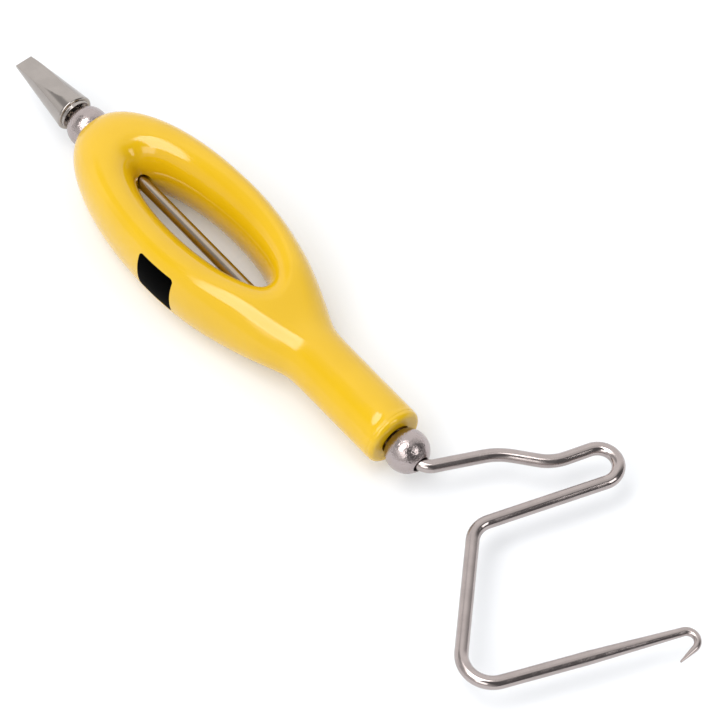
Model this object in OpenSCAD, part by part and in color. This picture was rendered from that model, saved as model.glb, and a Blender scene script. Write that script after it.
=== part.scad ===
// Rotating whip finisher: a coated ring handle whose shaft carries a bent hook wire in front and a half-hitch
// tip behind. Lengths are in millimetres. X runs along the shaft towards the hook, Z is up through the window,
// and the origin is on the shaft's axis at the middle of the window.

/* [Handle] */
// Width of the handle across the ring
handle_w = 21; // [20:0.2:26]
// Thickness of the ring
handle_t = 12; // [10:0.2:14]
// Middle of the window to the widest place
wide_x = 0; // [0:0.2:3]
// Middle of the window to the tail's rounded end
tail_x = 25.9; // [25:0.1:29]
// Fullness of the tail in plan, where 2 is an ellipse
tail_fullness = 2.2; // [2:0.1:2.6]
// Middle of the window to where the body meets the neck
shoulder_x = 25; // [24:0.2:32]
// How sharply the body narrows to the neck
shoulder_curve = 2; // [1.5:0.05:2.2]
// Softness of the corner between body and neck
shoulder_blend = 0.6; // [0.3:0.1:1]
// Middle of the window to the nose face
nose_x = 43.5; // [41:0.1:52]
// Diameter of the neck
neck_d = 9; // [8:0.2:10]
// Rounding of the nose
nose_round = 0.9; // [0.6:0.1:1.8]
// How far the ring stands off the shaft's line
ring_shift = 0.3; // [0:0.1:0.6]

/* [Window] */
// Length of the window at half the handle's thickness
window_l = 26.8; // [22:0.2:28]
// Width of the window at half the handle's thickness
window_w = 6.8; // [6:0.1:8]
// How far the wall at the window's ends rolls back to the top
window_end_roll = 4.5; // [3:0.1:5]
// Fullness of the window in plan, where 2 is an ellipse
window_fullness = 2; // [2:0.1:2.6]
// Fullness of the window's wall between waist and crest, where 2 is an ellipse
wall_fullness = 2; // [1.8:0.1:3]
// How far the window's middle stands off the shaft's line
window_shift = 0.7; // [0:0.1:1]
// Angle between the window and the shaft's line
window_skew = 3.2; // [0:0.2:4]
// Share of each bar of the ring that rolls to the window
crest_share = 0.62; // [0.5:0.02:0.66]
// Flat land along the crest of the ring
crest_land = 0.3; // [0.2:0.1:0.6]

/* [Bearings] */
// Wall of the two bushes
bush_wall = 1.25; // [1:0.05:1.4]
// Length of the nose bush
nose_bush_l = 8; // [5:0.5:10]
// Length of the tail bush
tail_bush_l = 5; // [4:0.5:5.5]
// Depth of the rear ball's pocket in the tail
pocket_depth = 2.2; // [1:0.1:2.6]
// Gap round the rear ball in its pocket
pocket_gap = 0.3; // [0.2:0.05:0.6]
// Depth of each bush below its seat
bush_recess = 1.4; // [1.2:0.1:2]
// Gap round the shaft between each bush and the window
relief_gap = 0.3; // [0.2:0.05:0.5]
// Running gap between shaft and bush, on the radius
running_gap = 0.05; // [0.02:0.01:0.1]
// End play of the shaft at each ball
end_play = 0.2; // [0.15:0.05:0.4]

/* [Spindle] */
// Diameter of the shaft
shaft_d = 2; // [1.6:0.1:2.2]
// Diameter of the two thrust balls
ball_d = 6.35; // [6:0.05:7]
// Diameter of the hook wire
wire_d = 1.9; // [1.4:0.1:2]
// Gap round the wire where it leaves the front ball
wire_gap = 0.3; // [0.2:0.05:0.5]

/* [Hook] */
// Straight end of the wire inside the front ball, from the ball's centre
stub_l = 2.2; // [1.8:0.1:3]
// Turn from the shaft's line to the lead
lead_turn = 63; // [50:1:75]
// Bend radius into the lead
lead_r = 2.2; // [1.8:0.1:3]
// Straight length of the lead
lead_l = 6.8; // [5:0.1:10]
// Turn at the hump
hump_turn = 24; // [15:1:35]
// Bend radius at the hump
hump_r = 10; // [4:0.5:12]
// Straight length from the hump to the dip
dip_l = 3.5; // [2:0.1:6]
// Turn at the dip
dip_turn = 33; // [20:1:40]
// Bend radius at the dip
dip_r = 6.5; // [3:0.5:8]
// Straight length from the dip up to the notch
rise_l = 3.6; // [2:0.1:6]
// Turn round the notch
notch_turn = 181; // [170:1:184]
// Bend radius round the notch
notch_r = 2.75; // [2.5:0.05:4]
// Straight length of the return
return_l = 17.2; // [15:0.1:22]
// Turn at the elbow
elbow_turn = 63; // [50:1:75]
// Bend radius at the elbow
elbow_r = 3.4; // [2:0.1:5]
// Straight length of the leg
leg_l = 16.8; // [12:0.1:24]
// Turn at the heel
heel_turn = 113; // [100:1:125]
// Bend radius at the heel
heel_r = 4; // [3:0.1:6]
// Full-width length of the arm
arm_l = 12; // [8:0.1:18]
// Tapered length of the arm
taper_l = 12.9; // [8:0.1:18]
// Diameter of the wire where the crook begins
crook_d = 1.25; // [1:0.05:1.4]
// Diameter of the wire where the crook ends
crook_end_d = 0.95; // [0.7:0.05:1]
// Turn round the crook
crook_turn = 152; // [130:1:165]
// Bend radius round the crook
crook_r = 1.45; // [1.2:0.05:2]
// Length of the pointed end
point_l = 2.7; // [2:0.1:4]
// Diameter at the very point
point_d = 0.3; // [0.2:0.05:0.5]

/* [Half-hitch tip] */
// Length of the tip
tip_l = 12.8; // [10:0.2:16]
// Diameter of the tip at its base
tip_base_d = 5.9; // [5:0.1:6.4]
// Width of the chisel edge
tip_edge_w = 2.8; // [2.4:0.1:3.2]
// Thickness of the chisel edge
tip_edge_t = 0.4; // [0.3:0.1:0.8]
// Distance from the tip's base to where its two flats begin
flat_start = 2.2; // [1.4:0.2:6]
// Rounding of the base's rim
tip_lip = 0.3; // [0.2:0.1:0.6]
// Gap between the tip's base and the rear ball
tip_gap = 0.05; // [0.02:0.01:0.2]
// Outside diameter of the collar on the tip's base
collar_d = 5; // [4.6:0.1:5.2]
// Length of the collar, round the end of the rear ball
collar_l = 0.5; // [0.3:0.1:0.7]
// Wall of the collar
collar_w = 0.35; // [0.3:0.05:0.5]
// Depth of the shaft in the tip
tip_socket = 5; // [3:0.5:6]

/* [Hidden] */
$fn = 64;
// Angle steps round the window, across an edge and round the nose
ring_step = 6;
edge_step = 11.25;
nose_step = 30;
lip_step = 15;
// Sides of the wire, and the angle between its stations in a bend
wire_sides = 16;
bend_step = 15;
// Stations along the shoulder
shoulder_steps = 9;
// Past the neck's corner where the soft corner has died away
shoulder_run = 5;
// Room for a cut to pass the surface
cut = 1;

handle_r = handle_w / 2;
ring_h = handle_t / 2;
neck_r = neck_d / 2;
ball_r = ball_d / 2;
// One part of each ring bar rolls to the window and the rest to the outside
roll_w = (handle_w - window_w) / 2 - crest_land;
inner_roll = roll_w * crest_share;
outer_roll = roll_w - inner_roll;
tail_l = wide_x + tail_x;
tail_seat_x = tail_x - pocket_depth;
pocket_d = ball_d + 2 * pocket_gap;
window_end_x = window_l / 2 + window_end_roll;
tail_roll = tail_x - window_end_x - crest_land;
bush_bore_d = shaft_d + 2 * running_gap;
bush_d = bush_bore_d + 2 * bush_wall;
relief_d = shaft_d + 2 * relief_gap;
wire_hole_d = wire_d + 2 * wire_gap;
// A ball that sits on the bush hole's rim has its centre this far off the seat
seat_depth = sqrt(pow(ball_r, 2) - pow(bush_d / 2, 2));
front_ball_x = nose_x + seat_depth + end_play;
rear_ball_x = -tail_seat_x - seat_depth - end_play;
tip_base_x = rear_ball_x - ball_r - tip_gap;

function mix(a, b, u) = a + (b - a) * u;
function ease(u) = let (v = min(max(u, 0), 1)) v * v * (3 - 2 * v);
function full(u, k) = sign(u) * pow(abs(u), 2 / k);
function soft_max(a, b, k) = (a + b + sqrt(pow(a - b, 2) + pow(k, 2))) / 2;

// Half-width of the body in front of its widest place
function shoulder_u(x) = (x - wide_x) / (shoulder_x - wide_x);
function body_half(x) =
    soft_max(neck_r + (handle_r - neck_r) * (1 - pow(shoulder_u(x), shoulder_curve)), neck_r, shoulder_blend);
// Half-thickness along the body
function body_h(x) = mix(ring_h, neck_r, ease((x - window_l / 2) / (shoulder_x - window_l / 2)));
// How far the outer edge rolls in from the side
function edge_roll(x) = mix(outer_roll, neck_r - crest_land / 2, ease(shoulder_u(x)));

// How far the outside, the window and the crest between them stand off the shaft's line
function fade(x) = 1 - ease((x - window_l / 2) / (shoulder_x - window_l / 2));
function ring_over(x) = ring_shift * fade(x);
function window_over(x) = window_shift + max(min(x, window_l / 2), -window_l / 2) * tan(window_skew);
function crest_over(x) = mix(ring_over(x), window_over(x), fade(x) / 2);
function on_ring(p) = [p.x, p.y, ring_over(p.x)];
function on_window(p) = [p.x, p.y, window_over(p.x)];
function on_crest(p) = [p.x, p.y, crest_over(p.x)];

// A point of a row, part of the way between two places; its last entry is how far off the line it stands
function between(p, q, u, z) = [mix(p.x, q.x, u), mix(p.y, q.y, u), z, mix(p.z, q.z, u)];
// Points from the crest to the side: a land, then a quarter of an ellipse
function edge_row(start, crest, side, h0, h) = concat(
    [between(start, crest, 0, h0)],
    [for (a = [0:edge_step:90]) between(crest, side, sin(a), h * cos(a))]);
// Points from the window's waist up to the crest
function wall_row(waist, start, h) =
    [for (a = [0:edge_step:90 - edge_step])
        between(waist, start, 1 - full(cos(a), wall_fullness), h * full(sin(a), wall_fullness))];

// Rows across the round nose and along the neck and shoulder, from the front
function round_row(x, r) = edge_row([x, 0, 0], [x, crest_land / 2, 0], [x, r, 0], r, r);
function neck_row(x) = let (half = body_half(x), h = body_h(x))
    edge_row(on_crest([x, 0]), on_crest([x, half - edge_roll(x)]), on_ring([x, half]), h, h);
shoulder_end = shoulder_x + shoulder_run;
front_rows = concat(
    [for (a = [90:-nose_step:0])
        round_row(nose_x - nose_round * (1 - sin(a)), neck_r - nose_round * (1 - cos(a)))],
    [for (i = [0:shoulder_steps - 1]) neck_row(mix(shoulder_end, window_end_x, i / shoulder_steps))]);

// Rows round the window, from the nose side to the tail
function window_waist(a) =
    [window_l / 2 * full(cos(a), window_fullness), window_w / 2 * full(sin(a), window_fullness)];
function window_crest(a) = [window_end_x * cos(a), (window_w / 2 + inner_roll) * sin(a)];
function side_x(a) = wide_x + (window_end_x - wide_x) * cos(a);
function tail_point(a, l, half) =
    [wide_x + l * full(cos(a), tail_fullness), half * full(sin(a), tail_fullness)];
function ring_side(a) = a <= 90
    ? [side_x(a), body_half(side_x(a))]
    : tail_point(a, tail_l, body_half(wide_x));
function ring_crest(a) = a <= 90
    ? [side_x(a), max(body_half(side_x(a)) - edge_roll(side_x(a)), window_crest(a).y + crest_land / 2)]
    : tail_point(a, tail_l - tail_roll, body_half(wide_x) - outer_roll);
function ring_row(a) = let (start = on_crest(window_crest(a)), h = body_h(start.x)) concat(
    wall_row(on_window(window_waist(a)), start, h),
    edge_row(start, on_crest(ring_crest(a)), on_ring(ring_side(a)), h, body_h(ring_crest(a).x)));
ring_rows = [for (a = [0:ring_step:180]) ring_row(a)];

// One quarter of the skin, then the same quarter mirrored across and down
wall_n = len(wall_row([0, 0, 0], [0, 0, 0], 1));
edge_n = len(front_rows[0]);
front_n = len(front_rows);
row_n = front_n + len(ring_rows);
quarter_points = concat(
    [for (row = front_rows) each row],
    [for (row = ring_rows) each row],
    [[nose_x, 0, 0, 0]]);
quarter_n = len(quarter_points);
function at(i, j) = i < front_n
    ? i * edge_n + j
    : front_n * edge_n + (i - front_n) * (wall_n + edge_n) + wall_n + j;
function cell(i, j) = [
    [at(i, j), at(i, j + 1), at(i + 1, j + 1)],
    [at(i, j), at(i + 1, j + 1), at(i + 1, j)]];
quarter_faces = concat(
    [for (i = [0:row_n - 2], j = [0:edge_n - 2]) each cell(i, j)],
    [for (i = [front_n:row_n - 2], j = [-wall_n:-1]) each cell(i, j)],
    [for (j = [0:edge_n - 2]) [quarter_n - 1, at(0, j + 1), at(0, j)]]);
quarters = [[1, 1], [-1, 1], [-1, -1], [1, -1]];
function turned(face, flip) = flip ? [face[2], face[1], face[0]] : face;

module handle_skin() {
    polyhedron(
        points = [for (q = quarters, p = quarter_points) [p.x, q[0] * p.y + p[3], q[1] * p.z + 0]],
        faces = [for (k = [0:3], f = quarter_faces)
            turned([for (n = f) n + k * quarter_n], quarters[k][0] * quarters[k][1] < 0)]);
}

// A cylinder along X from one place to another
module rod(from_x, to_x, d) {
    translate([from_x, 0, 0]) rotate([0, 90, 0]) cylinder(d = d, h = to_x - from_x);
}

module handle() {
    color("gold") difference() {
        handle_skin();
        rod(-tail_x - cut, nose_x + cut, relief_d);
        rod(nose_x - bush_recess - nose_bush_l, nose_x + cut, bush_d);
        rod(-tail_x - cut, -tail_seat_x + bush_recess + tail_bush_l, bush_d);
        rod(-tail_x - cut, -tail_seat_x, pocket_d);
    }
}

module bush(from_x, l) {
    color("goldenrod") difference() {
        rod(from_x, from_x + l, bush_d);
        rod(from_x - cut, from_x + l + cut, bush_bore_d);
    }
}

module nose_bush() { bush(nose_x - bush_recess - nose_bush_l, nose_bush_l); }

module tail_bush() { bush(-tail_seat_x + bush_recess, tail_bush_l); }

module shaft() {
    color("silver") rod(tip_base_x - tip_socket, front_ball_x, shaft_d);
}

module ball(x) {
    color("silver") translate([x, 0, 0]) sphere(d = ball_d);
}

module front_ball() {
    difference() {
        ball(front_ball_x);
        rod(front_ball_x - ball_d, front_ball_x, shaft_d);
        rod(front_ball_x, front_ball_x + ball_d, wire_hole_d);
    }
}

module rear_ball() {
    difference() {
        ball(rear_ball_x);
        rod(rear_ball_x - ball_d, rear_ball_x + ball_d, shaft_d);
    }
}

// Each step of the wire: straight length, turn to the left, bend radius, and its width after each of the two
hook_steps = [
    [stub_l, lead_turn, lead_r, wire_d, wire_d],
    [lead_l, -hump_turn, hump_r, wire_d, wire_d],
    [dip_l, dip_turn, dip_r, wire_d, wire_d],
    [rise_l, -notch_turn, notch_r, wire_d, wire_d],
    [return_l, elbow_turn, elbow_r, wire_d, wire_d],
    [leg_l, heel_turn, heel_r, wire_d, wire_d],
    [arm_l, 0, 0, wire_d, wire_d],
    [taper_l, -crook_turn, crook_r, crook_d, crook_end_d],
    [point_l, 0, 0, point_d, point_d]];

// Stations along the wire, each with its place, heading and radius
function bend_stations(x, y, heading, turn, r, d1, d2) =
    let (side = sign(turn) * r, n = ceil(abs(turn) / bend_step))
    [for (k = [1:1:n]) let (a = heading + turn * k / n)
        [x + side * (sin(a) - sin(heading)), y - side * (cos(a) - cos(heading)), a, mix(d1, d2, k / n) / 2]];
function stations_from(i, x, y, heading) = i == len(hook_steps) ? [] :
    let (
        step = hook_steps[i],
        straight_end = [x + step[0] * cos(heading), y + step[0] * sin(heading), heading, step[3] / 2],
        bend = bend_stations(straight_end.x, straight_end.y, heading, step[1], step[2], step[3], step[4]),
        last = len(bend) > 0 ? bend[len(bend) - 1] : straight_end)
    concat([straight_end], bend, stations_from(i + 1, last.x, last.y, last[2]));
hook_stations = concat([[0, 0, 0, wire_d / 2]], stations_from(0, 0, 0, 0));

// A ring of points square to the wire at one station
function wire_ring(s) = [for (k = [0:wire_sides - 1]) let (a = 360 * k / wire_sides)
    [s.x - s[3] * cos(a) * sin(s[2]), s.y + s[3] * cos(a) * cos(s[2]), s[3] * sin(a)]];
function wire_cell(i, k) =
    let (a = i * wire_sides, b = a + wire_sides, next = (k + 1) % wire_sides)
    [[a + k, a + next, b + next], [a + k, b + next, b + k]];

module hook_wire() {
    last_ring = (len(hook_stations) - 1) * wire_sides;
    color("silver") translate([front_ball_x, 0, 0]) polyhedron(
        points = [for (s = hook_stations) each wire_ring(s)],
        faces = concat(
            [[for (k = [wire_sides - 1:-1:0]) k]],
            [for (i = [0:len(hook_stations) - 2], k = [0:wire_sides - 1]) each wire_cell(i, k)],
            [[for (k = [0:wire_sides - 1]) last_ring + k]]));
}

// Length of the flats, radius of the cone where they run out, and their slope
flat_l = tip_l - flat_start;
flat_root_r = mix(tip_edge_w, tip_base_d, flat_l / tip_l) / 2;
flat_angle = atan((flat_root_r - tip_edge_t / 2) / flat_l);

module tip_cone() {
    rotate([0, -90, 0]) rotate_extrude() polygon(concat(
        [[0, 0], [collar_d / 2 - collar_w, 0], [collar_d / 2 - collar_w, -collar_l]],
        [[collar_d / 2, -collar_l], [collar_d / 2, 0]],
        [for (a = [0:lip_step:90]) [tip_base_d / 2 - tip_lip * (1 - sin(a)), tip_lip * (1 - cos(a))]],
        [[tip_edge_w / 2, tip_l], [0, tip_l]]));
}

module tip_flat() {
    translate([-tip_l, -tip_base_d / 2 - cut, tip_edge_t / 2]) rotate([0, -flat_angle, 0])
        translate([-cut, 0, 0]) cube([tip_l + cut, tip_base_d + 2 * cut, tip_base_d]);
}

module half_hitch_tip() {
    color("silver") translate([tip_base_x, 0, 0]) difference() {
        tip_cone();
        tip_flat();
        mirror([0, 0, 1]) tip_flat();
        rod(-tip_socket, cut, shaft_d);
    }
}

handle();
nose_bush();
tail_bush();
shaft();
front_ball();
rear_ball();
hook_wire();
half_hitch_tip();
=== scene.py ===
"""Whip finisher: the coated ring handle, the steel spindle with its hook, and a plain studio round them."""
import math

import bmesh
import bpy
from bpy.props import FloatProperty, FloatVectorProperty, PointerProperty
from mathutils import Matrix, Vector


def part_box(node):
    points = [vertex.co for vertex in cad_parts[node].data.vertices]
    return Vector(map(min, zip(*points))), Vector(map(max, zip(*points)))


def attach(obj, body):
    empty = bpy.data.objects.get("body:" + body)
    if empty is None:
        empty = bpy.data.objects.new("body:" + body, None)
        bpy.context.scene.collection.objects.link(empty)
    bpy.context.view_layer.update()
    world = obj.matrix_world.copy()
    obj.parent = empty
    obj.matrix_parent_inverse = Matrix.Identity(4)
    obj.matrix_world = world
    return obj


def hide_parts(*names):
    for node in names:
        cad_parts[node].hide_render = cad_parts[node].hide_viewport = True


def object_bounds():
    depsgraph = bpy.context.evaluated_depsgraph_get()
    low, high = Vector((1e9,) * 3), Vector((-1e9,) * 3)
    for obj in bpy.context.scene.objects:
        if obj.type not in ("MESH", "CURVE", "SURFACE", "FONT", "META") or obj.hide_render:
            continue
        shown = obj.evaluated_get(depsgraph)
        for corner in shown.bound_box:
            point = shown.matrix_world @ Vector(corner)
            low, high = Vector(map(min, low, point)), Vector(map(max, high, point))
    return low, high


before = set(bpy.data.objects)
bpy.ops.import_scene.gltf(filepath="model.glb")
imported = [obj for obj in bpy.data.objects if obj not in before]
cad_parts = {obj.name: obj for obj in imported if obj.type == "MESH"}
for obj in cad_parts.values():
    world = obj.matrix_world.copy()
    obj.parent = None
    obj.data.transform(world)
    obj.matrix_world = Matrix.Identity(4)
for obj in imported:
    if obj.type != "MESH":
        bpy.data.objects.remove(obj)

bl_info = {
    "name": "Whip Finisher",
    "version": (1, 0, 0),
    "blender": (4, 5, 0),
    "location": "View3D > Sidebar > Whip Finisher",
    "description": "Builds a whip finisher's coated handle, steel spindle and hook, and a plain studio",
    "category": "Add Mesh",
}

MM = 0.001
X, Y, Z = 0, 1, 2
RIGHT_ANGLE = math.pi / 2
FULL_TURN = 2 * math.pi

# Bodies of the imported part
FIXED_BODY = "handle"
TURNING_BODY = "spindle"

# Fineness of the meshes
RING_STEPS = 100
WALL_STEPS = 14
LAND_STEPS = 6
EDGE_STEPS = 14
NOSE_STEPS = 12
NECK_STEPS = 46
LATHE_SIDES = 96
BALL_STEPS = 60
RIM_STEPS = 6
WIRE_SIDES = 40
BEND_STEP = math.radians(4)
TIP_STEPS = 60
TIP_ARC_STEPS = 22
TIP_FLAT_STEPS = 10
BEVEL_STEPS = 3
FLOOR_STEPS = 8

# Smoothing of the handle's skin: how many passes, and how far each one goes
SMOOTH_PASSES = 4
SMOOTH_FACTOR = 0.5

# Angles between faces from which an edge stays sharp
HANDLE_SHARP = math.radians(40)
SHAFT_SHARP = math.radians(30)
BALL_SHARP = math.radians(35)
WIRE_SHARP = math.radians(60)
TIP_SHARP = math.radians(25)
TIP_BEVELLED = math.radians(30)

# The coat: sizes of its marks and grain, its roughness, and the soft edge of its patch
COAT_MARKS = 9 * MM
COAT_GRAIN = 1.1 * MM
COAT_ROUGH = (0.10, 0.15)
COAT_RELIEF = 0.02 * MM
COAT_RELIEF_SHARE = 0.10
COAT_IOR = 1.54
PATCH_EDGE = 0.03 * MM

# The metals: sizes of their marks, grain and turned lines, and what these do to tone and gloss
METAL_MARKS = 3 * MM
METAL_DARKER = 0.86
METAL_MARKS_SHARE = 0.6
METAL_GRAIN_SHARE = 0.4
METAL_GLOSS_FROM = (0.2, 0.8)
METAL_RELIEF = 0.0007 * MM
METAL_GRAIN = 0.16 * MM
BALL_RELIEF = 0.06 * MM
BALL_GRAIN = 0.3 * MM
BRASS_LINES = 0.25 * MM
SHAFT_LINES = 0.3 * MM
TIP_LINES = 0.12 * MM

# Smoothest and roughest parts of each metal
BRASS_ROUGH = (0.22, 0.34)
SHAFT_ROUGH = (0.10, 0.20)
BALL_ROUGH = (0.17, 0.28)
WIRE_ROUGH = (0.13, 0.24)
TIP_ROUGH = (0.10, 0.18)

# The floor: sizes of its mottling and grain, and what they do to its tone and roughness
FLOOR_MARKS = 60 * MM
FLOOR_GRAIN = 1.5 * MM
FLOOR_DARKER = 0.985
FLOOR_ROUGH = (0.75, 0.85)
FLOOR_ROUGH_FROM = (0.3, 0.7)

# Detail of the noise in the effects, and the part of it that the marks use
GRAIN_DETAIL = 3.0
MARKS_DETAIL = 4.0
MARKS_FROM = (0.38, 0.66)
LINES_DETAIL = 2.0

# Directions from the object to the pale walls, the ceiling and the dark gap
WALL_SIDE = (-0.9, 0.43, 0)
NEAR_SIDE = (0.1, -1, 0)
TOP_SIDE = (-0.1, 0.2, 1)
DARK_GAP = (-0.55, -0.35, 0.75)

# Where each of these fades in, as a cosine off its direction, and how pale or dark it gets
WALL_FADE = (-0.05, 0.45)
NEAR_FADE = (0.45, 0.9)
NEAR_SHARE = 0.65
TOP_FADE = (0.85, 0.97)
TOP_SHARE = 0.75
GAP_FADE = (0.90, 0.97)
GAP_SHARE = 0.35

# The softboxes: direction from the object, direction of the long side, sizes in metres and power in watts
BOX_DISTANCE = 0.9
SOFTBOXES = {
    "main": {
        "direction": (-0.09, -0.39, 0.91), "long_way": (0.1, -1, 0),
        "length": 0.80, "width": 0.43, "power": 5.4},
    "right": {
        "direction": (0.75, 0.27, 0.60), "long_way": (0, 1, 0),
        "length": 0.36, "width": 0.40, "power": 1.4},
    "near": {
        "direction": (0.34, -0.74, 0.58), "long_way": (1, 0.7, 0),
        "length": 0.40, "width": 0.40, "power": 1.2},
}

# Points closer than this are one point
WELD = 0.002 * MM


def plain_box(box):
    """A box as plain lists of numbers."""
    return [list(corner) for corner in box]


CAD_BOX = plain_box(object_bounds())


def span(node, axis):
    """How far a CAD node reaches along one axis."""
    low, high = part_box(node)
    return high[axis] - low[axis]


def low_end(node):
    """Where a CAD node begins along the shaft."""
    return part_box(node)[0][X]


def high_end(node):
    """Where a CAD node ends along the shaft."""
    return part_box(node)[1][X]


# Kinds of setting

def size(name, description, default):
    """A length in metres."""
    return FloatProperty(name=name, description=description, default=default, unit="LENGTH", precision=5)


def turn(name, description, degrees):
    """An angle, given in degrees."""
    return FloatProperty(name=name, description=description, default=math.radians(degrees), subtype="ANGLE")


def number(name, description, default):
    """A plain number."""
    return FloatProperty(name=name, description=description, default=default)


def paint(name, description, default):
    """A colour."""
    return FloatVectorProperty(
        name=name, description=description, default=default, size=4, subtype="COLOR", min=0, max=1)


class WHIP_PG_handle(bpy.types.PropertyGroup):
    """Sizes of the ring handle."""

    width: size("Width", "Width of the handle across the ring", span("handle", Y))
    thickness: size("Thickness", "Thickness of the ring", span("handle", Z))
    wide: size("Widest", "Middle of the window to the widest place", 0)
    tail: size("Tail", "Middle of the window to the tail's rounded end", 25.9 * MM)
    tail_fullness: number("Tail fullness", "Fullness of the tail in plan, where 2 is an ellipse", 2.2)
    shoulder: size("Shoulder", "Middle of the window to where the body meets the neck", 25 * MM)
    shoulder_curve: number("Shoulder curve", "How sharply the body narrows to the neck", 2)
    shoulder_blend: size("Shoulder blend", "Softness of the corner between body and neck", 0.6 * MM)
    nose: size("Nose", "Middle of the window to the nose face", high_end("handle"))
    neck: size("Neck", "Diameter of the neck", 9 * MM)
    nose_round: size("Nose rounding", "Rounding of the nose", 0.9 * MM)
    ring_shift: size("Ring shift", "How far the ring stands off the shaft's line", 0.3 * MM)
    groove: size("Nose groove", "Depth of the fine groove behind the nose", 0.07 * MM)
    groove_width: size("Groove width", "Width of the fine groove behind the nose", 0.5 * MM)
    window: size("Window", "Length of the window at half the thickness", 26.8 * MM)
    window_width: size("Window width", "Width of the window at half the thickness", 6.8 * MM)
    window_roll: size("Window roll", "How far the wall at the window's ends rolls back", 4.5 * MM)
    window_fullness: number("Window fullness", "Fullness of the window in plan, where 2 is an ellipse", 2)
    wall_fullness: number("Wall fullness", "Fullness of the window's wall, where 2 is an ellipse", 2)
    window_shift: size("Window shift", "How far the window's middle stands off the shaft's line", 0.7 * MM)
    window_skew: turn("Window skew", "Angle between the window and the shaft's line", 3.2)
    crest_share: number("Crest share", "Share of each bar of the ring that rolls to the window", 0.62)
    land: size("Crest land", "Flat land along the crest of the ring", 0.3 * MM)
    bush: size("Bush hole", "Diameter of the holes for the bushes", span("nose_bush", Y))
    relief: size("Shaft hole", "Diameter of the holes for the shaft", 2.6 * MM)
    pocket: size("Pocket", "Diameter of the rear ball's pocket", 6.95 * MM)
    seat: size("Pocket floor", "Middle of the window to the floor of the pocket", 23.7 * MM)
    rim: size("Rim", "Rounding of the coated rims of the holes", 0.15 * MM)


class WHIP_PG_spindle(bpy.types.PropertyGroup):
    """Sizes of the shaft, the balls and the half-hitch tip."""

    shaft: size("Shaft", "Diameter of the shaft", span("shaft", Y))
    shaft_bevel: size("Shaft bevel", "Bevel of the shaft's ends", 0.15 * MM)
    ball: size("Ball", "Diameter of the two balls", span("rear_ball", Y))
    wire_hole: size("Wire hole", "Diameter of the hole where the wire leaves the front ball", 2.5 * MM)
    ball_rim: size("Ball rim", "Rounding of the rims of the balls' holes", 0.08 * MM)
    tip_base: size("Tip base", "Diameter of the tip at its base", span("half_hitch_tip", Y))
    tip_edge: size("Tip edge", "Width of the chisel edge", 2.8 * MM)
    tip_edge_thickness: size("Edge thickness", "Thickness of the chisel edge", 0.4 * MM)
    tip_flat: size("Tip flats", "Length of the two flats", 10.6 * MM)
    tip_lip: size("Tip lip", "Rounding of the rim of the tip's base", 0.3 * MM)
    collar: size("Collar", "Outside diameter of the collar on the tip's base", 5 * MM)
    collar_length: size("Collar length", "Length of the collar round the end of the ball", 0.5 * MM)
    collar_wall: size("Collar wall", "Wall of the collar", 0.35 * MM)
    tip_socket: size("Tip socket", "Depth of the shaft in the tip", 5 * MM)
    tip_bevel: size("Tip bevel", "Bevel of the edges of the flats", 0.06 * MM)


class WHIP_PG_hook(bpy.types.PropertyGroup):
    """Sizes of the bent wire, from the front ball to the point."""

    wire: size("Wire", "Diameter of the wire", span("hook_wire", Z))
    stub: size("Stub", "Straight end inside the front ball", 2.2 * MM)
    lead_turn: turn("Lead turn", "Turn from the shaft's line to the lead", 63)
    lead_radius: size("Lead radius", "Bend radius into the lead", 2.2 * MM)
    lead: size("Lead", "Straight length of the lead", 6.8 * MM)
    hump_turn: turn("Hump turn", "Turn at the hump", -24)
    hump_radius: size("Hump radius", "Bend radius at the hump", 10 * MM)
    dip: size("Dip", "Straight length from the hump to the dip", 3.5 * MM)
    dip_turn: turn("Dip turn", "Turn at the dip", 33)
    dip_radius: size("Dip radius", "Bend radius at the dip", 6.5 * MM)
    rise: size("Rise", "Straight length from the dip up to the notch", 3.6 * MM)
    notch_turn: turn("Notch turn", "Turn round the notch", -181)
    notch_radius: size("Notch radius", "Bend radius round the notch", 2.75 * MM)
    back: size("Return", "Straight length of the return", 17.2 * MM)
    elbow_turn: turn("Elbow turn", "Turn at the elbow", 63)
    elbow_radius: size("Elbow radius", "Bend radius at the elbow", 3.4 * MM)
    leg: size("Leg", "Straight length of the leg", 16.8 * MM)
    heel_turn: turn("Heel turn", "Turn at the heel", 113)
    heel_radius: size("Heel radius", "Bend radius at the heel", 4 * MM)
    arm: size("Arm", "Full-width length of the arm", 12 * MM)
    taper: size("Taper", "Tapered length of the arm", 12.9 * MM)
    crook: size("Crook", "Diameter of the wire where the crook begins", 1.25 * MM)
    crook_end: size("Crook end", "Diameter of the wire where the crook ends", 0.95 * MM)
    crook_turn: turn("Crook turn", "Turn round the crook", -152)
    crook_radius: size("Crook radius", "Bend radius round the crook", 1.45 * MM)
    point: size("Point", "Length of the pointed end", 2.7 * MM)
    point_width: size("Point width", "Diameter at the very point", 0.3 * MM)


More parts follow.
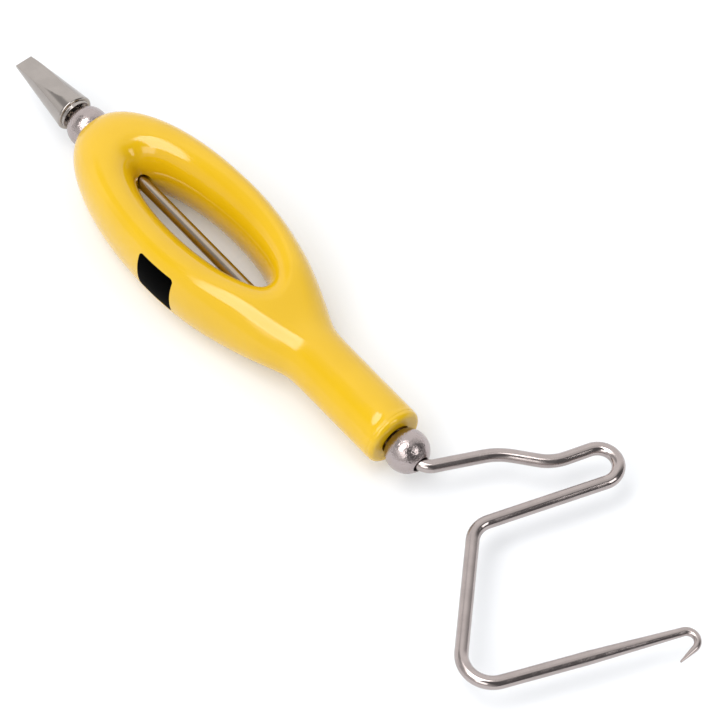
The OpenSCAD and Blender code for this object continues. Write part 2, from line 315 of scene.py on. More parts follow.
class WHIP_PG_finish(bpy.types.PropertyGroup):
    """Colours of the finishes, and the dark patch on the handle's side."""

    coat: paint("Coat", "Colour of the handle's coat", (0.71, 0.437, 0.006, 1))
    coat_deep: paint("Deep coat", "Colour of the coat where it lies thicker", (0.69, 0.42, 0.003, 1))
    patch: paint("Patch", "Colour of the dark patch", (0.001, 0.001, 0.001, 1))
    patch_place: size("Patch place", "Middle of the window to the middle of the patch", 2.45 * MM)
    patch_height: size("Patch height", "Middle of the patch above the shaft's line", 0.9 * MM)
    patch_width: size("Patch width", "Side of the square patch", 6.9 * MM)
    patch_corner: size("Patch corner", "Rounding of the patch's corners", 0.6 * MM)
    steel: paint("Steel", "Colour of the polished steel", (0.43, 0.37, 0.36, 1))
    shaft: paint("Shaft", "Colour of the ground shaft", (0.43, 0.36, 0.285, 1))
    wire: paint("Wire", "Colour of the drawn wire", (0.43, 0.375, 0.36, 1))
    tip: paint("Tip", "Colour of the satin tip", (0.40, 0.365, 0.34, 1))
    brass: paint("Brass", "Colour of the bushes", (0.72, 0.50, 0.20, 1))


class WHIP_PG_studio(bpy.types.PropertyGroup):
    """The camera, the floor and the lights."""

    look_at: FloatVectorProperty(
        name="Look at", description="Point that the camera looks at", subtype="TRANSLATION",
        default=(30.5 * MM, 4.5 * MM, 0))
    azimuth: turn("Azimuth", "Turn of the camera round the object", 50.15)
    elevation: turn("Elevation", "Height of the camera above the floor's plane", 57)
    distance: size("Distance", "Distance of the camera from its point", 400 * MM)
    lens: number("Lens", "Focal length in millimetres, for a frame 36 mm wide", 144.3)
    floor: paint("Floor", "Colour of the floor", (0.75, 0.755, 0.765, 1))
    floor_glow: paint("Floor glow", "Faint light that comes up through the floor", (0.155, 0.165, 0.175, 1))
    floor_size: size("Floor size", "Side of the square floor", 3000 * MM)
    wall: paint("Wall", "Colour of the pale wall on the far left", (1.0, 1.0, 1.0, 1))
    room: paint("Room", "Colour of the dim room elsewhere", (0.14, 0.14, 0.145, 1))
    glow: number("Glow", "How brightly the surroundings shine", 1.18)


class WHIP_PG_settings(bpy.types.PropertyGroup):
    """Everything that can be set on the whip finisher."""

    handle: PointerProperty(type=WHIP_PG_handle)
    spindle: PointerProperty(type=WHIP_PG_spindle)
    hook: PointerProperty(type=WHIP_PG_hook)
    finish: PointerProperty(type=WHIP_PG_finish)
    studio: PointerProperty(type=WHIP_PG_studio)


def settings():
    """The scene's settings."""
    return bpy.context.scene.whip_finisher


# Small sums

def mix(a, b, u):
    """A value part of the way from a to b."""
    return a + (b - a) * u


def ease(u):
    """A soft start and stop between 0 and 1."""
    v = min(max(u, 0), 1)
    return v * v * (3 - 2 * v)


def fuller(u, fullness):
    """A sine or cosine made fuller, where 2 leaves it as it is."""
    return math.copysign(abs(u) ** (2 / fullness), u)


def soft_max(a, b, blend):
    """The larger of two values, with a soft corner between them."""
    return (a + b + math.sqrt((a - b) ** 2 + blend ** 2)) / 2


def steps(count):
    """Even steps from 0 to 1, both included."""
    return [k / count for k in range(count + 1)]


# Meshes

def smooth_mesh(name, bm, sharp):
    """The finished mesh, smooth but for edges sharper than an angle."""
    bmesh.ops.remove_doubles(bm, verts=bm.verts, dist=WELD)
    bmesh.ops.recalc_face_normals(bm, faces=bm.faces)
    mesh = bpy.data.meshes.new(name)
    bm.to_mesh(mesh)
    bm.free()
    mesh.shade_smooth()
    mesh.set_sharp_from_angle(angle=sharp)
    return mesh


def ring_skin(rings, looped):
    """A skin over rings of points: a looped one closes on its first ring, and any other gets end caps."""
    bm = bmesh.new()
    made = [[bm.verts.new(point) for point in ring] for ring in rings]
    pairs = list(zip(made, made[1:]))
    if looped:
        pairs.append((made[-1], made[0]))
    for first, second in pairs:
        for k in range(len(first)):
            after = (k + 1) % len(first)
            bm.faces.new((first[k], first[after], second[after], second[k]))
    if not looped:
        bm.faces.new(made[0])
        bm.faces.new(made[-1])
    return bm


def lathe_rings(profile, sides):
    """Rings about the shaft's line, one for each place and radius of a profile."""
    angles = [FULL_TURN * k / sides for k in range(sides)]
    return [[(x, r * math.cos(a), r * math.sin(a)) for a in angles] for x, r in profile]


def bevel_sharp(bm, angle, width):
    """Bevels the edges that are sharper than an angle."""
    edges = []
    for edge in bm.edges:
        if len(edge.link_faces) == 2 and edge.calc_face_angle() > angle:
            edges.append(edge)
    if edges:
        bmesh.ops.bevel(
            bm, geom=edges, offset=width, segments=BEVEL_STEPS, profile=0.5, affect="EDGES",
            clamp_overlap=True)


def cut_mesh(mesh, cutter_mesh):
    """The first mesh with the second taken out of it, as a bmesh."""
    body = bpy.data.objects.new("cut_body", mesh)
    cutter = bpy.data.objects.new("cutter", cutter_mesh)
    for part in (body, cutter):
        bpy.context.scene.collection.objects.link(part)
    modifier = body.modifiers.new("holes", "BOOLEAN")
    modifier.operation = "DIFFERENCE"
    modifier.solver = "EXACT"
    modifier.object = cutter
    graph = bpy.context.evaluated_depsgraph_get()
    bm = bmesh.new()
    bm.from_object(body, graph)
    for part in (body, cutter):
        bpy.data.objects.remove(part)
    bpy.data.meshes.remove(mesh)
    bpy.data.meshes.remove(cutter_mesh)
    if not bm.faces:
        raise RuntimeError("the holes could not be cut")
    return bm


def add_piece(name, mesh, material, body, node):
    """Puts a mesh in the scene as the piece that stands for one CAD node."""
    piece = bpy.data.objects.new(name, mesh)
    bpy.context.scene.collection.objects.link(piece)
    mesh.materials.append(material)
    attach(piece, body)
    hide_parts(node)


# The handle's form

class HandleForm:
    """Points on one quarter of the handle's skin."""

    def __init__(self, s):
        self.s = s
        self.half = s.width / 2
        self.high = s.thickness / 2
        self.neck = s.neck / 2
        roll = (s.width - s.window_width) / 2 - s.land
        self.inner_roll = roll * s.crest_share
        self.outer_roll = roll - self.inner_roll
        self.window_end = s.window / 2 + s.window_roll
        self.tail_reach = s.wide + s.tail
        self.tail_roll = s.tail - self.window_end - s.land
        self.wide_half = self.body_half(s.wide)

    def along_shoulder(self, x):
        """How far a place is from the widest place to the neck, as a share."""
        return max(x - self.s.wide, 0) / (self.s.shoulder - self.s.wide)

    def body_half(self, x):
        """Half the width in front of the widest place."""
        narrowing = 1 - self.along_shoulder(x) ** self.s.shoulder_curve
        return soft_max(self.neck + (self.half - self.neck) * narrowing, self.neck, self.s.shoulder_blend)

    def body_high(self, x):
        """Half the thickness along the body."""
        start = self.s.window / 2
        return mix(self.high, self.neck, ease((x - start) / (self.s.shoulder - start)))

    def edge_roll(self, x):
        """How far the outer edge rolls in from the side."""
        return mix(self.outer_roll, self.neck - self.s.land / 2, ease(self.along_shoulder(x)))

    def fade(self, x):
        """How much of the ring's shift is left at a place on the shoulder."""
        start = self.s.window / 2
        return 1 - ease((x - start) / (self.s.shoulder - start))

    def on_ring(self, x, y):
        """A place on the outside, with its distance off the shaft's line."""
        return (x, y, self.s.ring_shift * self.fade(x))

    def on_window(self, x, y):
        """A place on the window's waist, with its distance off the shaft's line."""
        end = self.s.window / 2
        return (x, y, self.s.window_shift + max(min(x, end), -end) * math.tan(self.s.window_skew))

    def on_crest(self, x, y):
        """A place on the crest, with its distance off the shaft's line."""
        ring = self.on_ring(x, y)[Z]
        window = self.on_window(x, y)[Z]
        return (x, y, mix(ring, window, self.fade(x) / 2))

    def between(self, first, second, u, high):
        """A point at a height, part of the way between two places."""
        x, y, over = [mix(a, b, u) for a, b in zip(first, second)]
        return (x, y, high, over)

    def edge_row(self, start, crest, side):
        """A land from start to crest, then a quarter of an ellipse down to the side."""
        row = []
        for u in steps(LAND_STEPS)[:-1]:
            row.append(self.between(start, crest, u, self.body_high(mix(start[X], crest[X], u))))
        high = self.body_high(crest[X])
        for u in steps(EDGE_STEPS):
            row.append(self.between(
                crest, side, math.sin(u * RIGHT_ANGLE), high * math.cos(u * RIGHT_ANGLE)))
        return row

    def wall_row(self, waist, crest):
        """A full curve from the window's waist up to its crest."""
        row = []
        high = self.body_high(crest[X])
        for u in steps(WALL_STEPS)[:-1]:
            back = 1 - fuller(math.cos(u * RIGHT_ANGLE), self.s.wall_fullness)
            up = fuller(math.sin(u * RIGHT_ANGLE), self.s.wall_fullness)
            row.append(self.between(waist, crest, back, high * up))
        return row

    def round_row(self, x, r):
        """A quarter of a circle round the nose or neck."""
        row = []
        for u in steps(LAND_STEPS + EDGE_STEPS):
            row.append((x, r * math.sin(u * RIGHT_ANGLE), r * math.cos(u * RIGHT_ANGLE), 0))
        return row

    def groove_dip(self, x):
        """Depth of the fine groove behind the nose at one place."""
        away = (x - (self.s.nose - self.s.nose_round)) / (self.s.groove_width / 2)
        return self.s.groove * (1 - ease(abs(away)))

    def nose_rows(self):
        """Rows over the rounded nose and the groove behind it."""
        rows = []
        for u in steps(NOSE_STEPS):
            a = (1 - u) * RIGHT_ANGLE
            x = self.s.nose - self.s.nose_round * (1 - math.sin(a))
            r = self.neck - self.s.nose_round * (1 - math.cos(a))
            rows.append(self.round_row(x, r - self.groove_dip(x)))
        for u in steps(NOSE_STEPS)[1:]:
            x = self.s.nose - self.s.nose_round - self.s.groove_width * u
            rows.append(self.round_row(x, self.neck - self.groove_dip(x)))
        return rows

    def neck_row(self, x):
        """A row across the neck or shoulder."""
        half = self.body_half(x)
        return self.edge_row(
            self.on_crest(x, 0), self.on_crest(x, half - self.edge_roll(x)), self.on_ring(x, half))

    def tail_point(self, a, reach, half):
        """A point on the tail's outline or crest."""
        return (
            self.s.wide + reach * fuller(math.cos(a), self.s.tail_fullness),
            half * fuller(math.sin(a), self.s.tail_fullness))

    def ring_row(self, a):
        """A row across the ring, from the window's waist to the outside."""
        waist = self.on_window(
            self.s.window / 2 * fuller(math.cos(a), self.s.window_fullness),
            self.s.window_width / 2 * fuller(math.sin(a), self.s.window_fullness))
        start = self.on_crest(
            self.window_end * math.cos(a), (self.s.window_width / 2 + self.inner_roll) * math.sin(a))
        if a <= RIGHT_ANGLE:
            x = self.s.wide + (self.window_end - self.s.wide) * math.cos(a)
            side = (x, self.body_half(x))
            crest = (x, max(self.body_half(x) - self.edge_roll(x), start[Y] + self.s.land / 2))
        else:
            side = self.tail_point(a, self.tail_reach, self.wide_half)
            crest = self.tail_point(a, self.tail_reach - self.tail_roll, self.wide_half - self.outer_roll)
        return self.wall_row(waist, start) + self.edge_row(
            start, self.on_crest(*crest), self.on_ring(*side))

    def front_rows(self):
        """Rows from the nose to the window's end."""
        rows = self.nose_rows()
        start = self.s.nose - self.s.nose_round - self.s.groove_width
        for u in steps(NECK_STEPS)[1:]:
            rows.append(self.neck_row(mix(start, self.window_end, u)))
        return rows

    def ring_rows(self):
        """Rows round the window, from the nose side to the tail."""
        return [self.ring_row(u * math.pi) for u in steps(RING_STEPS)]


def handle_skin(s):
    """The handle's whole skin, from one quarter mirrored across and down."""
    form = HandleForm(s)
    front = form.front_rows()
    ring = form.ring_rows()
    bm = bmesh.new()
    for across in (1, -1):
        for down in (1, -1):
            grids = [
                [[bm.verts.new((x, across * y + over, down * z)) for x, y, z, over in row] for row in rows]
                for rows in (front, ring)]
            for grid in grids:
                for first, second in zip(grid, grid[1:]):
                    for k in range(len(first) - 1):
                        bm.faces.new((first[k], first[k + 1], second[k + 1], second[k]))
            middle = bm.verts.new((s.nose, 0, 0))
            for k in range(len(grids[0][0]) - 1):
                bm.faces.new((middle, grids[0][0][k], grids[0][0][k + 1]))
    bmesh.ops.remove_doubles(bm, verts=bm.verts, dist=WELD)
    return bm


def handle_holes(s):
    """The stepped hole through the handle: the bush holes, the shaft's holes and the rear ball's pocket."""
    nose_bush_end = low_end("nose_bush")
    tail_bush_end = high_end("tail_bush")
    past = s.nose_round
    profile = [(s.nose + past, 0), (s.nose + past, s.bush / 2 + s.rim + past)]
    for u in steps(RIM_STEPS):
        a = (1 - u) * RIGHT_ANGLE
        profile.append((s.nose - s.rim + s.rim * math.sin(a), s.bush / 2 + s.rim - s.rim * math.cos(a)))
    profile += [
        (nose_bush_end, s.bush / 2), (nose_bush_end, s.relief / 2),
        (tail_bush_end, s.relief / 2), (tail_bush_end, s.bush / 2),
        (-s.seat, s.bush / 2), (-s.seat, s.pocket / 2),
        (-s.tail - past, s.pocket / 2), (-s.tail - past, 0)]
    return ring_skin(lathe_rings(profile, LATHE_SIDES), looped=False)


class WHIP_OT_handle(bpy.types.Operator):
    """Builds the coated ring handle."""

    bl_idname = "whip_finisher.handle"
    bl_label = "Handle"

    def execute(self, context):
        """Makes the skin, cuts the holes, softens their rims and coats it."""
        s = settings().handle
        skin = handle_skin(s)
        for pass_number in range(SMOOTH_PASSES):
            bmesh.ops.smooth_vert(
                skin, verts=skin.verts, factor=SMOOTH_FACTOR,
                use_axis_x=True, use_axis_y=True, use_axis_z=True)
        skin_mesh = smooth_mesh("handle_skin", skin, RIGHT_ANGLE)
        holes_mesh = smooth_mesh("handle_holes", handle_holes(s), RIGHT_ANGLE)
        bm = cut_mesh(skin_mesh, holes_mesh)
        mesh = smooth_mesh("coated_handle", bm, HANDLE_SHARP)
        add_piece("coated_handle", mesh, coat_material(), FIXED_BODY, "handle")
        return {"FINISHED"}


class WHIP_OT_bushes(bpy.types.Operator):
    """Gives the two bushes their turned brass."""

    bl_idname = "whip_finisher.bushes"
    bl_label = "Bushes"

    def execute(self, context):
        """Puts brass on the two CAD bushes."""
        brass = metal_material("turned_brass", settings().finish.brass, BRASS_ROUGH, BRASS_LINES)
        for name in ("nose_bush", "tail_bush"):
            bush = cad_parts[name]
            bush.data.materials.clear()
            bush.data.materials.append(brass)
        return {"FINISHED"}


class WHIP_OT_shaft(bpy.types.Operator):
    """Builds the shaft."""

    bl_idname = "whip_finisher.shaft"
    bl_label = "Shaft"

    def execute(self, context):
        """Turns the shaft with bevelled ends."""
        s = settings().spindle
        low = low_end("shaft")
        high = high_end("shaft")
        r = s.shaft / 2
        bevel = s.shaft_bevel
        profile = [(low, r - bevel), (low + bevel, r), (high - bevel, r), (high, r - bevel)]
        skin = ring_skin(lathe_rings(profile, LATHE_SIDES), looped=False)
        mesh = smooth_mesh("ground_shaft", skin, SHAFT_SHARP)
        steel = metal_material("ground_steel", settings().finish.shaft, SHAFT_ROUGH, SHAFT_LINES)
        add_piece("ground_shaft", mesh, steel, TURNING_BODY, "shaft")
        return {"FINISHED"}


def ball_profile(centre, r, back_hole, front_hole, rim):
    """A bored ball's outline: its skin from the back hole to the front one, its rims and its two bores."""
    first = math.pi - math.asin((back_hole + rim) / r)
    last = math.asin((front_hole + rim) / r)
    profile = [(centre, back_hole), (centre + r * math.cos(first) + rim, back_hole)]
    for u in steps(BALL_STEPS):
        a = mix(first, last, u)
        profile.append((centre + r * math.cos(a), r * math.sin(a)))
    profile += [(centre + r * math.cos(last) - rim, front_hole), (centre, front_hole)]
    return profile


class WHIP_OT_balls(bpy.types.Operator):
    """Builds the two polished balls."""

    bl_idname = "whip_finisher.balls"
    bl_label = "Balls"

    def execute(self, context):
        """Turns both balls with their holes."""
        s = settings().spindle
        steel = metal_material(
            "polished_steel", settings().finish.steel, BALL_ROUGH, relief=BALL_RELIEF, grain_size=BALL_GRAIN)
        front_centre = high_end("shaft")
        rear_centre = (low_end("rear_ball") + high_end("rear_ball")) / 2
        rows = (
            ("nose_ball", "front_ball", front_centre, s.wire_hole / 2),
            ("tail_ball", "rear_ball", rear_centre, s.shaft / 2))
        for name, node, centre, front_hole in rows:
            profile = ball_profile(centre, s.ball / 2, s.shaft / 2, front_hole, s.ball_rim)
            skin = ring_skin(lathe_rings(profile, LATHE_SIDES), looped=True)
            mesh = smooth_mesh(name, skin, BALL_SHARP)
            add_piece(name, mesh, steel, TURNING_BODY, node)
        return {"FINISHED"}


# The bent wire

def wire_steps(s):
    """Each step of the wire: straight length, turn, bend radius, and its width after each of the two."""
    return (
        (s.stub, s.lead_turn, s.lead_radius, s.wire, s.wire),
        (s.lead, s.hump_turn, s.hump_radius, s.wire, s.wire),
        (s.dip, s.dip_turn, s.dip_radius, s.wire, s.wire),
        (s.rise, s.notch_turn, s.notch_radius, s.wire, s.wire),
        (s.back, s.elbow_turn, s.elbow_radius, s.wire, s.wire),
        (s.leg, s.heel_turn, s.heel_radius, s.wire, s.wire),
        (s.arm, 0, 0, s.wire, s.wire),
        (s.taper, s.crook_turn, s.crook_radius, s.crook, s.crook_end),
        (s.point, 0, 0, s.point_width, s.point_width))


def wire_stations(s, start):
    """Places along the wire, each with its heading and radius."""
    x, y, facing = start, 0, 0
    width = s.wire
    stations = [(x, y, facing, width / 2)]
    for straight, bend, radius, width_after, width_bent in wire_steps(s):
        pieces = max(math.ceil(straight / s.wire), 1)
        for u in steps(pieces)[1:]:
            stations.append((
                x + straight * u * math.cos(facing), y + straight * u * math.sin(facing),
                facing, mix(width, width_after, u) / 2))
        x, y = stations[-1][:2]
        side = math.copysign(radius, bend)
        count = math.ceil(abs(bend) / BEND_STEP)
        for k in range(1, count + 1):
            a = facing + bend * k / count
            stations.append((
                x + side * (math.sin(a) - math.sin(facing)), y - side * (math.cos(a) - math.cos(facing)),
                a, mix(width_after, width_bent, k / count) / 2))
        x, y = stations[-1][:2]
        facing += bend
        width = width_bent
    return stations


def wire_ring(station):
    """A ring of points square to the wire."""
    x, y, facing, r = station
    ring = []
    for k in range(WIRE_SIDES):
        a = FULL_TURN * k / WIRE_SIDES
        out = r * math.cos(a)
        ring.append((x - out * math.sin(facing), y + out * math.cos(facing), r * math.sin(a)))
    return ring


def rounded_point(station):
    """Stations that round off the very point."""
    x, y, facing, r = station
    rounded = []
    for u in steps(RIM_STEPS)[1:-1]:
        a = u * RIGHT_ANGLE
        reach = r * math.sin(a)
        rounded.append((x + reach * math.cos(facing), y + reach * math.sin(facing), facing, r * math.cos(a)))
    return rounded


class WHIP_OT_hook(bpy.types.Operator):
    """Builds the bent hook wire."""

    bl_idname = "whip_finisher.hook"
    bl_label = "Hook"

    def execute(self, context):
        """Sweeps the wire along its bends."""
        s = settings().hook
        stations = wire_stations(s, high_end("shaft"))
        rings = [wire_ring(station) for station in stations + rounded_point(stations[-1])]
        mesh = smooth_mesh("bent_hook", ring_skin(rings, looped=False), WIRE_SHARP)
        wire = metal_material("drawn_wire", settings().finish.wire, WIRE_ROUGH)
        add_piece("bent_hook", mesh, wire, TURNING_BODY, "hook_wire")
        return {"FINISHED"}


# The half-hitch tip

def tip_ring(x, r, flat):
    """A ring across the tip: a circle cut off by the two flats."""
    corner = math.asin(min(flat / r, 1))
    half = r * math.cos(corner)
    high = r * math.sin(corner)
    ring = []
    for side in (1, -1):
        for u in steps(TIP_ARC_STEPS):
            a = mix(-corner, corner, u)
            ring.append((x, side * r * math.cos(a), side * r * math.sin(a)))
        for u in steps(TIP_FLAT_STEPS)[1:-1]:
            ring.append((x, side * mix(half, -half, u), side * high))
    return ring


def tip_rings(s, base, end):
    """Rings from the bottom of the shaft's socket, over the collar and the base's lip, to the chisel edge."""
    long = base - end
    root = mix(s.tip_edge, s.tip_base, s.tip_flat / long) / 2
    slope = (root - s.tip_edge_thickness / 2) / s.tip_flat
    shaft = s.shaft / 2
    collar = s.collar / 2
    cup = collar - s.collar_wall
    brim = base + s.collar_length
    rings = [tip_ring(base - s.tip_socket, shaft, shaft), tip_ring(base, shaft, shaft)]
    rings += [tip_ring(base, cup, cup), tip_ring(brim, cup, cup)]
    rings += [tip_ring(brim, collar, collar), tip_ring(base, collar, collar)]
    for u in steps(RIM_STEPS):
        a = u * RIGHT_ANGLE
        r = s.tip_base / 2 - s.tip_lip * (1 - math.sin(a))
        rings.append(tip_ring(base - s.tip_lip * (1 - math.cos(a)), r, r))
    for u in steps(TIP_STEPS)[1:]:
        back = mix(s.tip_lip, long, u)
        r = mix(s.tip_base, s.tip_edge, u) / 2
        flat = s.tip_edge_thickness / 2 + (long - back) * slope
        rings.append(tip_ring(base - back, r, flat))
    return rings


class WHIP_OT_tip(bpy.types.Operator):
    """Builds the half-hitch tip."""

    bl_idname = "whip_finisher.tip"
    bl_label = "Half-hitch tip"

    def execute(self, context):
        """Makes the cone with its two flats and breaks the edges."""
        s = settings().spindle
        base = high_end("half_hitch_tip") - s.collar_length
        rings = tip_rings(s, base, low_end("half_hitch_tip"))
        bm = ring_skin(rings, looped=False)
        bmesh.ops.remove_doubles(bm, verts=bm.verts, dist=WELD)
        bmesh.ops.recalc_face_normals(bm, faces=bm.faces)
        bevel_sharp(bm, TIP_BEVELLED, s.tip_bevel)
        mesh = smooth_mesh("hitch_tip", bm, TIP_SHARP)
        satin = metal_material("satin_steel", settings().finish.tip, TIP_ROUGH, TIP_LINES)
        add_piece("hitch_tip", mesh, satin, TURNING_BODY, "half_hitch_tip")
        return {"FINISHED"}


# Materials

class Graph:
    """Adds and joins nodes in one node tree."""

    def __init__(self, tree):
        self.tree = tree

    def add(self, kind, **values):
        """Adds a node, with values for its settings."""
        made = self.tree.nodes.new(kind)
        for name, value in values.items():
            setattr(made, name, value)
        return made

    def put(self, target, value):
        """Joins a socket to an input, or sets the input to a value."""
        if isinstance(value, bpy.types.NodeSocket):
            self.tree.links.new(value, target)
        else:
            target.default_value = value

    def sum(self, operation, first, second=None):
        """A math node's result."""
        made = self.add("ShaderNodeMath", operation=operation)
        self.put(made.inputs[0], first)
        if second is not None:
            self.put(made.inputs[1], second)
        return made.outputs["Value"]

    def ramp(self, value, low, high, from_low, from_high):
        """A value taken smoothly from one range to another."""
        made = self.add("ShaderNodeMapRange", interpolation_type="SMOOTHSTEP")
        self.put(made.inputs["Value"], value)
        self.put(made.inputs["From Min"], from_low)
        self.put(made.inputs["From Max"], from_high)
        self.put(made.inputs["To Min"], low)
        self.put(made.inputs["To Max"], high)
        return made.outputs["Result"]

    def blend(self, factor, first, second):
        """One colour laid over another by a mask."""
        made = self.add("ShaderNodeMix", data_type="RGBA")
        self.put(made.inputs["Factor"], factor)
        self.put(made.inputs[6], first)
        self.put(made.inputs[7], second)
        return made.outputs[2]

    def place(self):
        """Coordinates in the object's own frame, in metres."""
        return self.add("ShaderNodeTexCoord").outputs["Object"]

    def along(self, vector, direction):
        """How far a vector points along a direction."""
        made = self.add("ShaderNodeVectorMath", operation="DOT_PRODUCT")
        self.put(made.inputs[0], vector)
        self.put(made.inputs[1], Vector(direction).normalized())
        return made.outputs["Value"]

    def axes(self, vector):
        """The three parts of a vector."""
        made = self.add("ShaderNodeSeparateXYZ")
        self.put(made.inputs[0], vector)
        return made.outputs

    def noise(self, vector, scale, detail):
        """Soft noise."""
        made = self.add("ShaderNodeTexNoise")
        self.put(made.inputs["Vector"], vector)
        self.put(made.inputs["Scale"], scale)
        self.put(made.inputs["Detail"], detail)
        return made.outputs["Fac"]


def effect(name, inputs, outputs):
    """A new shader node group with named value sockets, or the one that is there already."""
    group = bpy.data.node_groups.get(name)
    if group:
        return group, None, None, None
    group = bpy.data.node_groups.new(name, "ShaderNodeTree")
    for title in inputs:
        group.interface.new_socket(title, in_out="INPUT", socket_type="NodeSocketFloat")
    for title in outputs:
        group.interface.new_socket(title, in_out="OUTPUT", socket_type="NodeSocketFloat")
    graph = Graph(group)
    given = graph.add("NodeGroupInput")
    result = graph.add("NodeGroupOutput")
    return group, graph, given.outputs, result.inputs


def grain_effect():
    """Fine even unevenness of a surface, of a given size."""
    group, graph, given, result = effect("Fine grain", ["Size"], ["Height"])
    if graph:
        scale = graph.sum("DIVIDE", 1.0, given["Size"])
        graph.put(result["Height"], graph.noise(graph.place(), scale, GRAIN_DETAIL))
    return group


def marks_effect():
    """Broad faint patches left by hands and polishing, of a given size."""
    group, graph, given, result = effect("Handling marks", ["Size"], ["Mask"])
    if graph:
        scale = graph.sum("DIVIDE", 1.0, given["Size"])
        noise = graph.noise(graph.place(), scale, MARKS_DETAIL)
        graph.put(result["Mask"], graph.ramp(noise, 0.0, 1.0, *MARKS_FROM))
    return group


def lines_effect():
    """Fine rings round the shaft's line, as turning leaves them, of a given width."""
    group, graph, given, result = effect("Turned lines", ["Width"], ["Lines"])
    if graph:
        along = graph.sum("DIVIDE", graph.axes(graph.place())["X"], given["Width"])
        spread = graph.add("ShaderNodeCombineXYZ")
        graph.put(spread.inputs["X"], along)
        graph.put(result["Lines"], graph.noise(spread.outputs["Vector"], 1.0, LINES_DETAIL))
    return group


def use_effect(graph, group, value, output):
    """Places a node group with its one value, and gives one of its outputs."""
    made = graph.add("ShaderNodeGroup", node_tree=group)
    made.inputs[0].default_value = value
    return made.outputs[output]


def bump(graph, height, strength, distance):
    """A normal raised by a height."""
    made = graph.add("ShaderNodeBump")
    made.inputs["Strength"].default_value = strength
    made.inputs["Distance"].default_value = distance
    graph.put(made.inputs["Height"], height)
    return made.outputs["Normal"]


def new_material(name):
    """A new material, its node graph and its shader."""
    material = bpy.data.materials.new(name)
    material.use_nodes = True
    graph = Graph(material.node_tree)
    return material, graph, material.node_tree.nodes["Principled BSDF"]


def patch_mask(graph, f):
    """A square with rounded corners on the near side of the ring."""
    place = graph.axes(graph.place())
    half = f.patch_width / 2 - f.patch_corner
    along = graph.sum("ABSOLUTE", graph.sum("SUBTRACT", place["X"], f.patch_place))
    up = graph.sum("ABSOLUTE", graph.sum("SUBTRACT", place["Z"], f.patch_height))
    along_past = graph.sum("MAXIMUM", graph.sum("SUBTRACT", along, half), 0.0)
    up_past = graph.sum("MAXIMUM", graph.sum("SUBTRACT", up, half), 0.0)
    square = graph.sum("ADD", graph.sum("POWER", along_past, 2.0), graph.sum("POWER", up_past, 2.0))
    past = graph.sum("SUBTRACT", graph.sum("SQRT", square), f.patch_corner)
    inside = graph.ramp(past, 1.0, 0.0, -PATCH_EDGE, PATCH_EDGE)
    near_side = graph.sum("LESS_THAN", place["Y"], -f.patch_width)
    return graph.sum("MULTIPLY", inside, near_side)


def coat_material():
    """Thick glossy yellow coat, a little uneven, with a dark patch on its near side."""
    f = settings().finish
    material, graph, shader = new_material("yellow_coat")
    marks = use_effect(graph, marks_effect(), COAT_MARKS, "Mask")
    grain = use_effect(graph, grain_effect(), COAT_GRAIN, "Height")
    mask = patch_mask(graph, f)
    coat = graph.blend(marks, f.coat, f.coat_deep)
    graph.put(shader.inputs["Base Color"], graph.blend(mask, coat, f.patch))
    rough = graph.ramp(marks, *COAT_ROUGH, 0.0, 1.0)
    graph.put(shader.inputs["Roughness"], graph.sum("MAXIMUM", rough, mask))
    graph.put(shader.inputs["Metallic"], mask)
    graph.put(shader.inputs["Normal"], bump(graph, grain, COAT_RELIEF_SHARE, COAT_RELIEF))
    shader.inputs["IOR"].default_value = COAT_IOR
    return material


def metal_material(name, colour, rough, line_width=0, relief=METAL_RELIEF, grain_size=METAL_GRAIN):
    """Bare metal: polished where no turned lines are asked for, and otherwise finely lined."""
    material, graph, shader = new_material(name)
    marks = use_effect(graph, marks_effect(), METAL_MARKS, "Mask")
    grain = use_effect(graph, grain_effect(), grain_size, "Height")
    dark = [METAL_DARKER * part for part in colour[:3]] + [1]
    tone = graph.sum("MULTIPLY", marks, METAL_MARKS_SHARE)
    gloss = marks
    height = grain
    if line_width:
        lines = use_effect(graph, lines_effect(), line_width, "Lines")
        tone = graph.sum("MULTIPLY", lines, marks)
        gloss = lines
        height = graph.sum("ADD", lines, graph.sum("MULTIPLY", grain, METAL_GRAIN_SHARE))
    graph.put(shader.inputs["Base Color"], graph.blend(tone, list(colour), dark))
    graph.put(shader.inputs["Roughness"], graph.ramp(gloss, *rough, *METAL_GLOSS_FROM))
    graph.put(shader.inputs["Normal"], bump(graph, height, 1.0, relief))
    shader.inputs["Metallic"].default_value = 1
    return material


def floor_material(colour, glow):
    """Matt white floor with the faintest mottling, lit a little from below."""
    material, graph, shader = new_material("white_floor")
    marks = use_effect(graph, marks_effect(), FLOOR_MARKS, "Mask")
    grain = use_effect(graph, grain_effect(), FLOOR_GRAIN, "Height")
    darker = [FLOOR_DARKER * part for part in colour[:3]] + [1]
    graph.put(shader.inputs["Base Color"], graph.blend(marks, list(colour), darker))
    graph.put(shader.inputs["Roughness"], graph.ramp(grain, *FLOOR_ROUGH, *FLOOR_ROUGH_FROM))
    shader.inputs["Emission Color"].default_value = glow
    shader.inputs["Emission Strength"].default_value = 1
    return material


# The studio

def aim(thing, target):
    """Turns a camera or light to face a point."""
    thing.rotation_euler = (Vector(target) - thing.location).to_track_quat("-Z", "Y").to_euler()


def softbox(name, target, direction, long_way, length, width, power):
    """A rectangular soft light, with its length along a given direction."""
    light = bpy.data.lights.new(name, "AREA")
    light.shape = "RECTANGLE"
    light.size = length
    light.size_y = width
    light.energy = power
    lamp = bpy.data.objects.new(name, light)
    bpy.context.scene.collection.objects.link(lamp)
    back = Vector(direction).normalized()
    across = Vector(long_way)
    across = (across - back * across.dot(back)).normalized()
    up = back.cross(across)
    lamp.location = Vector(target) + back * BOX_DISTANCE
    turned = lamp.matrix_world.to_3x3()
    turned.col[0] = across
    turned.col[1] = up
    turned.col[2] = back
    lamp.rotation_euler = turned.to_euler()


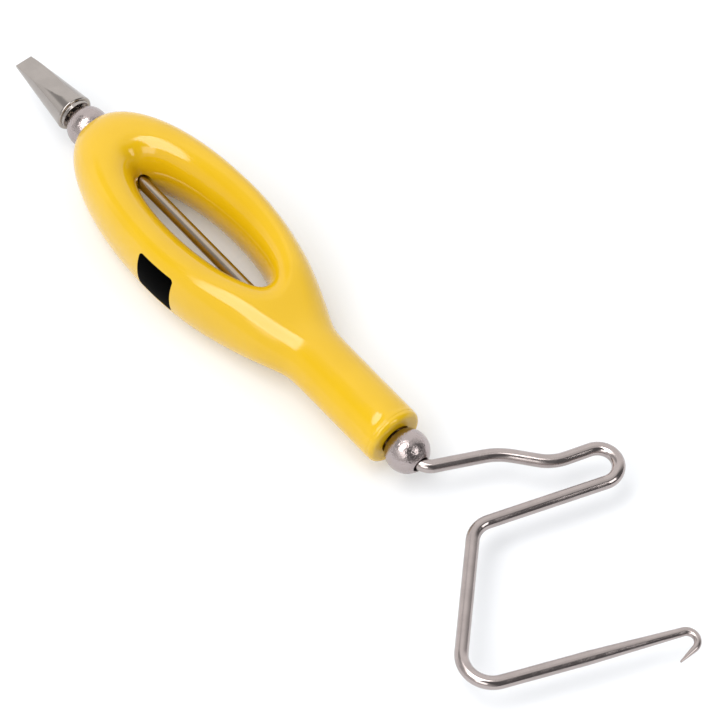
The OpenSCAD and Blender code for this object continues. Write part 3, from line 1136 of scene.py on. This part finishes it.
def surroundings(wall, room, glow):
    """A pale wall on the far left, fainter ones near by and overhead, and a dark gap by the main light."""
    world = bpy.data.worlds.new("studio")
    world.use_nodes = True
    bpy.context.scene.world = world
    graph = Graph(world.node_tree)
    shader = world.node_tree.nodes["Background"]
    toward = graph.add("ShaderNodeTexCoord").outputs["Generated"]
    far_left = graph.ramp(graph.along(toward, WALL_SIDE), 0.0, 1.0, *WALL_FADE)
    near = graph.ramp(graph.along(toward, NEAR_SIDE), 0.0, NEAR_SHARE, *NEAR_FADE)
    top = graph.ramp(graph.along(toward, TOP_SIDE), 0.0, TOP_SHARE, *TOP_FADE)
    gap = graph.ramp(graph.along(toward, DARK_GAP), 1.0, GAP_SHARE, *GAP_FADE)
    walls = graph.sum("MAXIMUM", far_left, near)
    pale = graph.sum("MULTIPLY", graph.sum("MAXIMUM", walls, top), gap)
    graph.put(shader.inputs["Color"], graph.blend(pale, list(room), list(wall)))
    shader.inputs["Strength"].default_value = glow


class WHIP_OT_studio(bpy.types.Operator):
    """Builds the floor, the lights and the camera."""

    bl_idname = "whip_finisher.studio"
    bl_label = "Studio"

    def execute(self, context):
        """Lays the floor, hangs the lights and sets the camera at the photograph's view."""
        s = settings().studio
        scene = context.scene
        scene.view_settings.view_transform = "Standard"
        bm = bmesh.new()
        bmesh.ops.create_grid(bm, x_segments=FLOOR_STEPS, y_segments=FLOOR_STEPS, size=s.floor_size / 2)
        mesh = bpy.data.meshes.new("floor")
        bm.to_mesh(mesh)
        bm.free()
        mesh.materials.append(floor_material(s.floor, s.floor_glow))
        floor = bpy.data.objects.new("floor", mesh)
        floor.location = (0, 0, CAD_BOX[0][Z])
        scene.collection.objects.link(floor)
        surroundings(s.wall, s.room, s.glow)
        for name, values in SOFTBOXES.items():
            softbox(name, s.look_at, **values)
        camera_data = bpy.data.cameras.new("camera")
        camera_data.lens = s.lens
        camera = bpy.data.objects.new("camera", camera_data)
        scene.collection.objects.link(camera)
        flat = math.cos(s.elevation)
        away = Vector((
            flat * math.sin(s.azimuth), -flat * math.cos(s.azimuth), math.sin(s.elevation)))
        camera.location = Vector(s.look_at) + away * s.distance
        aim(camera, s.look_at)
        scene.camera = camera
        return {"FINISHED"}


class WHIP_PT_panel(bpy.types.Panel):
    """Lists the pieces and their settings."""

    bl_idname = "WHIP_PT_panel"
    bl_label = "Whip Finisher"
    bl_space_type = "VIEW_3D"
    bl_region_type = "UI"
    bl_category = "Whip Finisher"

    def draw(self, context):
        """Shows a button for each piece, then the settings."""
        layout = self.layout
        for operator in OPERATORS:
            layout.operator(operator.bl_idname)
        whole = settings()
        for group in (whole.handle, whole.spindle, whole.hook, whole.finish, whole.studio):
            box = layout.box()
            for name in group.__annotations__:
                box.prop(group, name)


OPERATORS = (
    WHIP_OT_handle,
    WHIP_OT_bushes,
    WHIP_OT_shaft,
    WHIP_OT_balls,
    WHIP_OT_hook,
    WHIP_OT_tip,
    WHIP_OT_studio,
)
CLASSES = (
    WHIP_PG_handle,
    WHIP_PG_spindle,
    WHIP_PG_hook,
    WHIP_PG_finish,
    WHIP_PG_studio,
    WHIP_PG_settings,
) + OPERATORS + (WHIP_PT_panel,)


def register():
    """Adds the classes and the scene's settings."""
    for item in CLASSES:
        bpy.utils.register_class(item)
    bpy.types.Scene.whip_finisher = PointerProperty(type=WHIP_PG_settings)


def unregister():
    """Takes the settings and the classes away again."""
    del bpy.types.Scene.whip_finisher
    for item in reversed(CLASSES):
        bpy.utils.unregister_class(item)


def main():
    """Builds every piece and the studio."""
    register()
    bpy.ops.whip_finisher.handle()
    bpy.ops.whip_finisher.bushes()
    bpy.ops.whip_finisher.shaft()
    bpy.ops.whip_finisher.balls()
    bpy.ops.whip_finisher.hook()
    bpy.ops.whip_finisher.tip()
    bpy.ops.whip_finisher.studio()


if __name__ == "__main__":
    main()
